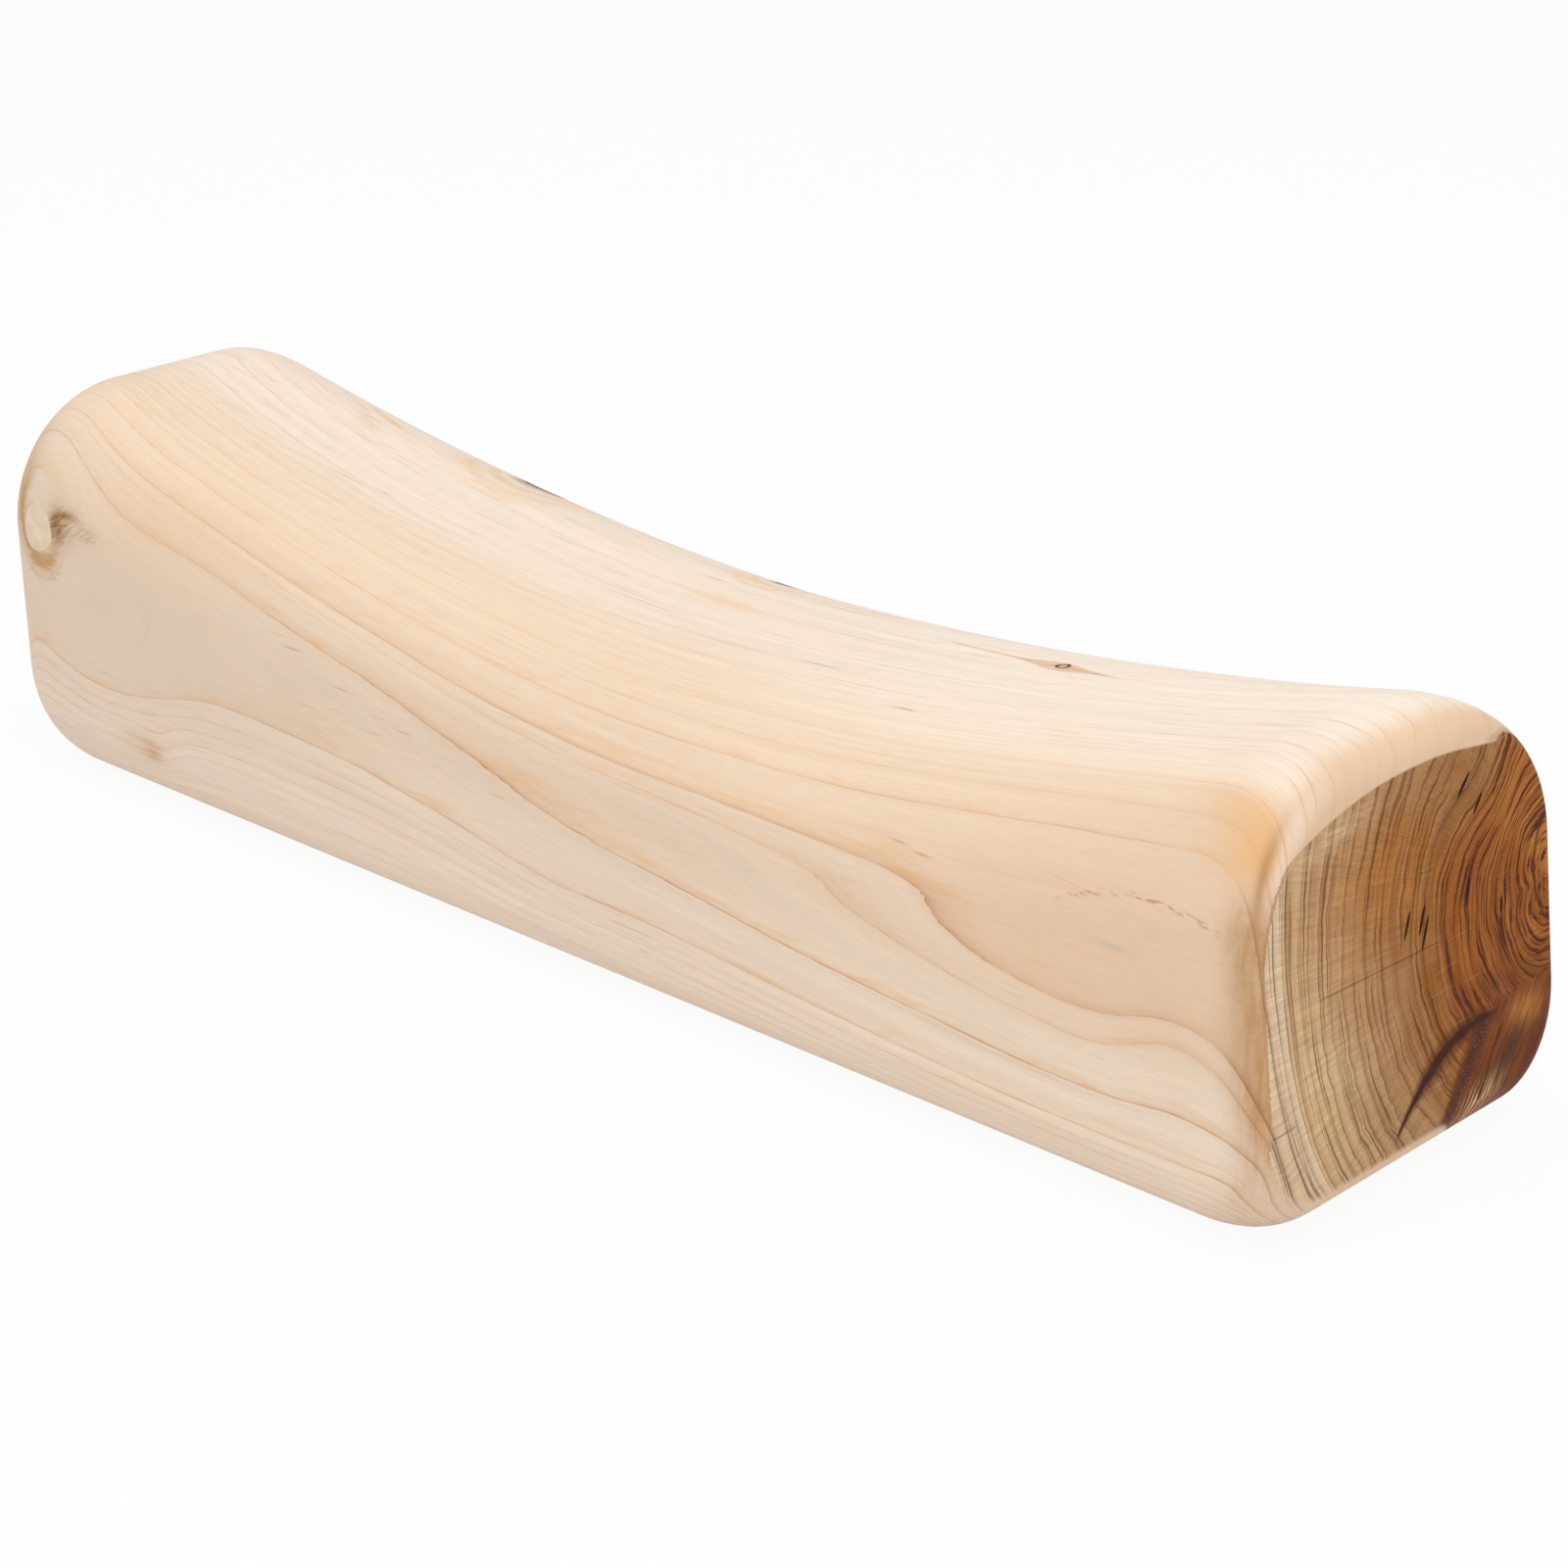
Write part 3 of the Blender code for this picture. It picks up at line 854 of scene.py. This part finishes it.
def top_marks(cut, colour, hair):
    x, y, top = cut.x, cut.y, cut.top
    middle = 12.5 - 0.08 * (x - 65)
    half = 0.3 + 1.6 * bell((x - 97) / 7.5)
    streaks = 0.75 + 2.0 * hair
    spindle = bell((y - middle) / half) * x.rises(58, 70) * x.rises(119, 108) * streaks
    outline = bell((abs(y - middle) / half - 1) / 0.3) * x.rises(80, 88) * x.rises(116, 108)
    colour = mix(top * spindle * 0.9, colour, SPINDLE)
    colour = mix(top * outline * 0.35, colour, SPINDLE_EDGE)
    for knot_x, knot_y, reach_x, reach_y, shade, near in (
        (0.5, 30, 9, 11, KNOT_SHADE, 0.35),
        (-85, 33, 17, 14, REAR_SHADE, 0.45),
    ):
        across, along = (y - knot_y) / reach_y, (x - knot_x) / reach_x
        reach = length(across, along) + 0.5 * hair
        arcs = bell((reach - 0.95) / 0.1) * 0.6 + bell((reach - 1.3) / 0.1) * 0.4
        colour = mix(cut.facing_z.rises(-0.1, 0.3) * arcs, colour, ARC)
        colour = mix(reach.rises(near + 0.35, near) * 0.75, colour, shade)
    for patch_x, patch_y, reach_x, reach_y in PATCHES:
        colour = mix(top * bell((x - patch_x) / reach_x, (y - patch_y) / reach_y) * 0.5, colour, TAN_PATCH)
    slanted = cloud((y + 0.35 * x) * 0.45, x / 30, 2.0).rises(0.02, 0.18)
    colour = mix(top * slanted * bell((x + 134) / 24, (y - 21) / 9) * 0.7, colour, ARC)
    return mix(top * dashes(x, y, TOP_DASHES) * (0.5 + 1.5 * hair), colour, DASH)


print(f"top marks with {len(PATCHES)} patches and {len(TOP_DASHES)} dashes")

# %% [markdown]
# ## Marks on the sawn end
#
# At the foot of the right end a branch runs from the pith to the corner: a spike knot, cut along its length.
# It has dark resin in it, golden fibres that flow along it, and a black wedge of bark where trunk and branch
# meet. The saw stopped twice on its way and left a thin line each time.

# %% End marks
BARK = paint(66, 26, 9)
SPIKE_DARK = paint(88, 34, 8)
SPIKE = paint(100, 44, 12)
SPIKE_GOLD = paint(144, 76, 22)
RESIN = paint(82, 37, 20)
RESIN_GREY = paint(82, 46, 28)
RESIN_GLINT = paint(200, 170, 150)
FIBRE_GOLD = paint(204, 136, 66)
FIBRE_GLINT = paint(234, 196, 150)
PAINTED_SHEEN = paint(238, 208, 170)
SPIKE_SLOPE = 0.8
SPIKE_LOW = 18.0


def wedge_height(y):
    return 20 + 0.72 * y - 0.0165 * y**2


def spike_knot(cut, colour):
    """The branch: fibres that lean with the slope, so one sideways distance places resin, crack and gold."""
    y, z = cut.y, cut.z
    side = y - SPIKE_SLOPE * (z - SPIKE_LOW)
    flow = cloud((y * SPIKE_SLOPE + z) / 12, side * 0.8, 4.0, detail=4.0, rough=0.65)
    side = side + 5 * flow
    roof = Shade.sum("MAXIMUM", wedge_height(y), 30.5 * y.rises(20, 27)) + 6 * flow
    body = (roof - z).rises(-0.5, 1.5) * side.rises(11.0, 13.5)
    wood = mix(flow.rises(-0.2, 0.2), SPIKE, SPIKE_GOLD)
    wood = mix(side.rises(34, 44) * z.rises(28, 20) * 0.7, wood, SPIKE_DARK)
    wood = mix(bell((y - 37.5) / 5.5, (z - 24.6) / 3.6) * (0.75 + 2 * flow), wood, FIBRE_GOLD)
    # The resin band is the wood's own; its white specks are painted glints of light.
    resin_glints = cloud(y * 2.2, z * 2.2, 6.0, detail=1.0).rises(0.1, 0.2)
    wood = mix(bell((side - 16) / 3.4) * 0.95, wood, mix(resin_glints * 0.38, RESIN, RESIN_GLINT))
    wood = mix(bell((side - 31.5) / 4.2, (z - 16.5) / 6.5) * 0.95, wood, RESIN_GREY)
    wood = mix(bell((side - 24.5) / 0.7) * z.rises(9, 12) * z.rises(25, 23) * 0.9, wood, BARK)
    # Pale stripes across the fibres at the foot of the branch: the flowing fibres are the wood's own, their
    # bright bands are painted highlights.
    glint_stripes = (2 * abs(Shade.sum("FRACT", side * 0.62) - 0.5)).rises(0.3, 0.7)
    wood = mix(glint_stripes * bell((side - 26) / 6, (z - 10) / 4), wood, FIBRE_GLINT)
    return mix(body * cut.right, colour, wood)


def end_marks(cut, colour):
    y, z, right = cut.y, cut.z, cut.right
    swirl = length((y - 49) / 7, (z - 52.5) / 12)
    colour = mix(right * bell((swirl - 1) / 0.06) * 0.8, colour, END_LINE)
    # A pale streaky band just inside the top border of the sawn end is painted sheen, a painted reflection
    # of the light on the end.
    border = BORDER_TOP - 0.0038 * (y - BORDER_MIDDLE) ** 2
    sheen_streaks = 0.55 + cloud(y / 9, z * 2.2, 1.0) * 2.5
    sheen_band = bell((y + 24) / 12, (z - border + 3.5) / 2.8) * sheen_streaks
    colour = mix(right * sheen_band * 0.6, colour, PAINTED_SHEEN)
    above_spike = bell((z - 33.5 + 0.2 * (y - 28)) / 4) * y.rises(14, 24)
    colour = mix(right * above_spike * 0.4, colour, SPIKE_DARK)
    colour = spike_knot(cut, colour)
    ragged = cloud(y / 4, z / 3, 8.0, detail=3.0)
    width = 0.3 + 1.7 * bell((y - 6) / 9) + 0.9 * bell((y - 20) / 6)
    off = abs(z - wedge_height(y)) / width + 1.2 * ragged
    reach = right * y.rises(-9, -7) * y.rises(29, 23)
    colour = mix(reach * off.rises(2.8, 0.6) * 0.75, colour, SPIKE_DARK)
    colour = mix(reach * off.rises(0.95, 0.45), colour, BARK)
    stops = bell((z - 48.8 + 0.03 * y) / 0.18) * y.rises(-33, -28) * y.rises(12, 8)
    stops = stops + bell((z - 27.2 - 0.05 * (y + 45)) / 0.2) * y.rises(-38, -42)
    stops = stops + bell((y + 22.7 + 0.4 * (z - 15)) / 0.25, (z - 15) / 1.0)
    return mix(right * stops * 0.55, colour, END_LINE)


print("end marks with the spike knot, its wedge and two saw stops")

# %% [markdown]
# ## Corner and heart
#
# Two places change the side grain. At the front corner of the sawn end the saw lifted the fibres, so the
# wood is brown and fuzzy there, with a dark valley above. The back of the bar runs close to the pith, so it
# cuts the heart lengthwise and is warmer, with brown lines. Both are masks from place and normal.

# %% Front corner and heartwood
HEARTWOOD = paint(219, 175, 131)
HEART_LINE = paint(178, 122, 78)
CORNER_FUZZ = paint(191, 146, 101)
CORNER_NOTCH = paint(172, 118, 68)
CORNER_LINE = paint(142, 96, 56)
NEAR_END = paint(232, 196, 158)
END_BORDER = paint(160, 112, 66)


def right_corner(where, colour):
    """The front corner of the sawn end: brown lifted fibres up to the end, and a dark valley above."""
    turned = where.facing_x * where.x.rises(100, 150)
    bands = cloud(where.x * 0.9, where.y * 0.9, where.z / 9)
    hairs = cloud(where.x / 3, where.y / 3, where.z * 0.9)
    height = where.z.rises(78, 66) * (0.35 + 0.65 * where.z.rises(10, 34))
    shade = where.beside * turned.rises(-0.04, 0.32) * height
    notch = where.beside * bell((turned - 0.54) / 0.11, (where.z - 77) / 8)
    colour = mix(shade * (0.85 + 0.8 * bands + 0.3 * hairs), colour, CORNER_FUZZ)
    colour = mix(notch * 0.65, colour, CORNER_NOTCH)
    colour = mix(shade * where.strength * where.age**9 * 0.8, colour, CORNER_LINE)
    colour = mix((1 - where.beside) * turned.rises(0.08, 0.6) * 0.8, colour, NEAR_END)
    valley = 0.35 + 0.4 * bell((where.y + 40) / 8, (where.z - 76) / 8)
    return mix(bell((where.cut_across - 0.65) / 0.07) * valley * (1 - where.under), colour, END_BORDER)


def heartwood(where, colour):
    """The back of the bar cuts the heart lengthwise: a red-tan band with brown year lines."""
    streak = cloud(where.x / 150, where.y / 7, where.z / 7, detail=3.0)
    heart = (where.ring + 12 * streak).rises(33, 27)
    colour = mix(heart * (0.75 + 0.8 * streak), colour, HEARTWOOD)
    return mix(heart * where.strength * where.age**5 * 0.55, colour, HEART_LINE)


print("corner and heartwood ready")

# %% [markdown]
# ## The block's timber
#
# A mask from the normal tells sawn end from side grain. The rounded edges above the end keep the pale colour
# of the side grain, so the mask has a crisp border there; at the front corner it is fuzzy. The marks are
# laid over the grain in turn, and the end over all of them. The fibres also lift the surface by a hair, and
# the pores of the end make it duller. Bare sanded wood hardly shines, so the mirror part of the shader is
# turned down.

# %% Block material
GRAIN_DEPTH = 0.05 * MM
WOOD_ROUGHNESS = 0.5
WOOD_SHINE = 0.12


def draw_on(material):
    """Makes a material the one that new nodes go into, and returns its shader."""
    material.use_nodes = True
    Shade.tree = material.node_tree
    return Shade.tree.nodes["Principled BSDF"]


def feed(shader, name, value):
    Shade.tree.links.new(value.socket, shader.inputs[name])


def draw_timber(material):
    shader = draw_on(material)
    where = Cut()
    side, fine, hair = side_grain(where)
    side = heartwood(where, side)
    side = front_marks(where, side, hair)
    side = top_marks(where, side, hair)
    side = right_corner(where, side)
    sawn, pores = sawn_grain(where)
    sawn = end_marks(where, sawn)
    feed(shader, "Base Color", mix(where.sawn, side, sawn))
    feed(shader, "Roughness", WOOD_ROUGHNESS + 0.25 * hair + 0.08 * where.sawn)
    height = fine + hair + where.sawn * pores
    feed(shader, "Normal", Shade.node("Bump", None, {"Distance": GRAIN_DEPTH, "Height": height}))
    shader.inputs["Specular IOR Level"].default_value = WOOD_SHINE


draw_timber(timber)
print(f"{len(Shade.tree.nodes)} nodes in the timber")

# %% [markdown]
# ## Bark seams and knots
#
# The walls of seams and splits are rough, nearly black bark. A knot is a slice of a small branch: rings
# round its own middle, a few drying checks that run outwards, and a dark rim where the bark was. One
# function draws all four, because they differ only in colours, number of rings and width of rim.

# %% Seam and knot materials
BARK_LIGHT = paint(92, 60, 40)
BARK_DARK = paint(40, 24, 16)
BARK_FLAKES = 1.2


def draw_bark(material):
    shader = draw_on(material)
    coords = Shade.node("TexCoord", output="Object")
    place = Shade.node("SeparateXYZ", None, {0: coords}).socket.node.outputs
    flakes = cloud(*[Shade(socket) * (BARK_FLAKES / MM) for socket in place], detail=3.0)
    feed(shader, "Base Color", mix(flakes + 0.5, BARK_DARK, BARK_LIGHT))
    feed(shader, "Roughness", 0.85 + 0.2 * flakes)


def draw_knot(knot, core, rim, line, rings, rim_start=0.3, rim_end=0.93):
    """A branch slice in its knot's own plane, with the given number of rings."""
    material = bpy.data.materials.new(knot.name)
    plugs[knot.name].data.materials.append(material)
    shader = draw_on(material)
    coords = Shade.node("TexCoord", output="Object")
    offset = Shade.node("VectorMath", {"operation": "SUBTRACT"}, {0: coords, 1: knot.place})
    dot, radius = {"operation": "DOT_PRODUCT"}, knot.size / 2
    along = Shade.node("VectorMath", dot, {0: offset, 1: knot.along}, "Value") / radius
    across = Shade.node("VectorMath", dot, {0: offset, 1: knot.across}, "Value") / radius
    wander = cloud(along * 1.5, across * 1.5, 0.0, detail=3.0)
    reach = length(along, across) + 0.25 * wander
    turn = Shade.sum("ARCTAN2", across, along)
    age = Shade.sum("FRACT", reach * rings)
    checks = cloud(turn * 2.5, reach * 0.7, 6.0).rises(0.14, 0.22)
    checks = checks * reach.rises(0.1, 0.5)
    colour = mix(reach.rises(rim_start, rim_end), core, rim)
    colour = mix(age**4 * 0.5 + checks * 0.35, colour, line)
    colour = mix(1.0, colour, 1.0 + 0.5 * wander, "MULTIPLY")
    feed(shader, "Base Color", colour)
    feed(shader, "Roughness", WOOD_ROUGHNESS + 0.3 * wander)
    shader.inputs["Specular IOR Level"].default_value = WOOD_SHINE


draw_bark(bark)
draw_knot(pin_knot, paint(218, 178, 140), paint(78, 50, 38), paint(150, 104, 76), 2, 0.56, 0.74)
draw_knot(edge_knot, paint(134, 108, 88), paint(92, 70, 56), paint(66, 46, 36), 4)
draw_knot(rear_knot, paint(178, 138, 120), paint(140, 104, 94), paint(110, 76, 68), 6)
draw_knot(bean_knot, paint(234, 212, 187), paint(230, 207, 181), paint(222, 197, 168), 3)
print("bark and four knots drawn")

# %% [markdown]
# ## Joining the frame
#
# Every piece stands for one solid of the frame. It rides on the frame's only body and hides the solid that
# it replaces.

# %% Ride and replace
pieces = {
    "headrest_block": (block, "pale_wood"),
    "saddle_pin_knot": (plugs["pin_knot"], "knot_wood"),
    "back_edge_knot": (plugs["edge_knot"], "knot_wood"),
    "back_left_knot": (plugs["rear_knot"], "knot_wood"),
    "left_front_knot": (plugs["bean_knot"], "pale_knot"),
}
for node, (piece, slot) in pieces.items():
    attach(piece, "root")
    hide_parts(node)
print(f"{len(pieces)} pieces ride on the frame")

# %% [markdown]
# ## Floor
#
# The bar stands on a sheet of white paper. To the camera and in reflections the sheet is almost pure white;
# the rest of it is plain paper that takes the soft shadow and throws light back at the bar.

# %% Paper floor
FLOOR_SIZE = 8.0
PAPER = (0.86, 0.86, 0.86, 1.0)
WHITE = (1.0, 1.0, 1.0, 1.0)
PAPER_GLOW = 0.93
floor_shape = bmesh.new()
bmesh.ops.create_grid(floor_shape, x_segments=2, y_segments=2, size=FLOOR_SIZE / 2)
floor = add_object("floor", floor_shape)
floor_paper = bpy.data.materials.new("white_paper")
floor.data.materials.append(floor_paper)
nodes = draw_on(floor_paper).id_data.nodes
nodes.remove(nodes["Principled BSDF"])
seen = Shade.node("LightPath", output="Is Camera Ray")
shiny = Shade(seen.socket.node.outputs["Is Glossy Ray"])
paper = Shade.node("BsdfDiffuse", None, {"Color": PAPER})
glow = Shade.node("Emission", None, {"Color": WHITE, "Strength": 1.0})
share = Shade.sum("MAXIMUM", seen, shiny) * PAPER_GLOW
mixed = Shade.node("MixShader", None, {0: share, 1: paper, 2: glow})
Shade.tree.links.new(mixed.socket, nodes["Material Output"].inputs["Surface"])
print(f"floor of {FLOOR_SIZE:.0f} m")

# %% [markdown]
# ## Light
#
# The light is soft and comes from nearly everywhere, as in a white tent: a bright room, one large box
# overhead and a weaker one at the front right that models the sawn end. There is no hard lamp, because the
# real shadow has no edge.

# %% Room and soft boxes
AMBIENT = 0.62
world = bpy.data.worlds.new("studio")
bpy.context.scene.world = world
world.use_nodes = True
Shade.tree = world.node_tree
seen = Shade.node("LightPath", output="Is Camera Ray")
level = AMBIENT + seen * (1.0 - AMBIENT)
Shade.tree.links.new(level.socket, Shade.tree.nodes["Background"].inputs["Strength"])
Shade.tree.nodes["Background"].inputs["Color"].default_value = WHITE


def soft_box(name, place, aim, size, power):
    """A rectangular lamp that looks at a point; lengths in metres, power in watts."""
    lamp = bpy.data.lights.new(name, "AREA")
    lamp.shape = "RECTANGLE"
    lamp.size, lamp.size_y = size
    lamp.energy = power
    made = bpy.data.objects.new(name, lamp)
    made.location = place
    made.rotation_euler = (Vector(aim) - Vector(place)).to_track_quat("-Z", "Y").to_euler()
    bpy.context.scene.collection.objects.link(made)


soft_box("overhead", (0.1, -0.1, 1.1), (0, 0, 0.05), (1.4, 1.0), 6.3)
soft_box("front_right", (0.75, -1.1, 0.4), (0.05, 0, 0.05), (0.8, 0.8), 3.2)
print(f"two soft boxes in a room of strength {AMBIENT}")

# %% [markdown]
# ## Camera
#
# The camera looks down at the front and the right end from a little over 20 degrees. Its values come from
# matching the bar's own corners and edges in perspective: a long lens, close to product photography, with
# hardly any shift and a slight roll.

# %% Camera
PHOTO_SIZE = 1600
AZIMUTH = math.radians(44.12)
ELEVATION = math.radians(22.342)
ROLL = math.radians(-0.863)
DISTANCE = 825.72 * MM
TARGET = Vector((27.95, -2.01, 37.89)) * MM
FOCAL_PIXELS = 3737.3
CENTRE_PIXEL = (803.0, 806.4)
SENSOR = 36.0

camera_data = bpy.data.cameras.new("camera")
camera_data.sensor_width = SENSOR
camera_data.lens = SENSOR * FOCAL_PIXELS / PHOTO_SIZE
camera_data.shift_x = (PHOTO_SIZE / 2 - CENTRE_PIXEL[0]) / PHOTO_SIZE
camera_data.shift_y = (CENTRE_PIXEL[1] - PHOTO_SIZE / 2) / PHOTO_SIZE
camera = bpy.data.objects.new("camera", camera_data)
bpy.context.scene.collection.objects.link(camera)
level_out = math.cos(ELEVATION)
back = Vector((math.sin(AZIMUTH) * level_out, -math.cos(AZIMUTH) * level_out, math.sin(ELEVATION)))
turn = back.to_track_quat("Z", "Y").to_matrix().to_4x4()
camera.matrix_world = Matrix.Translation(TARGET + back * DISTANCE) @ turn @ Matrix.Rotation(ROLL, 4, "Z")
bpy.context.scene.camera = camera
bpy.context.scene.view_settings.view_transform = "Standard"
print(f"camera {DISTANCE:.2f} m away with a lens of {camera_data.lens:.0f} mm")
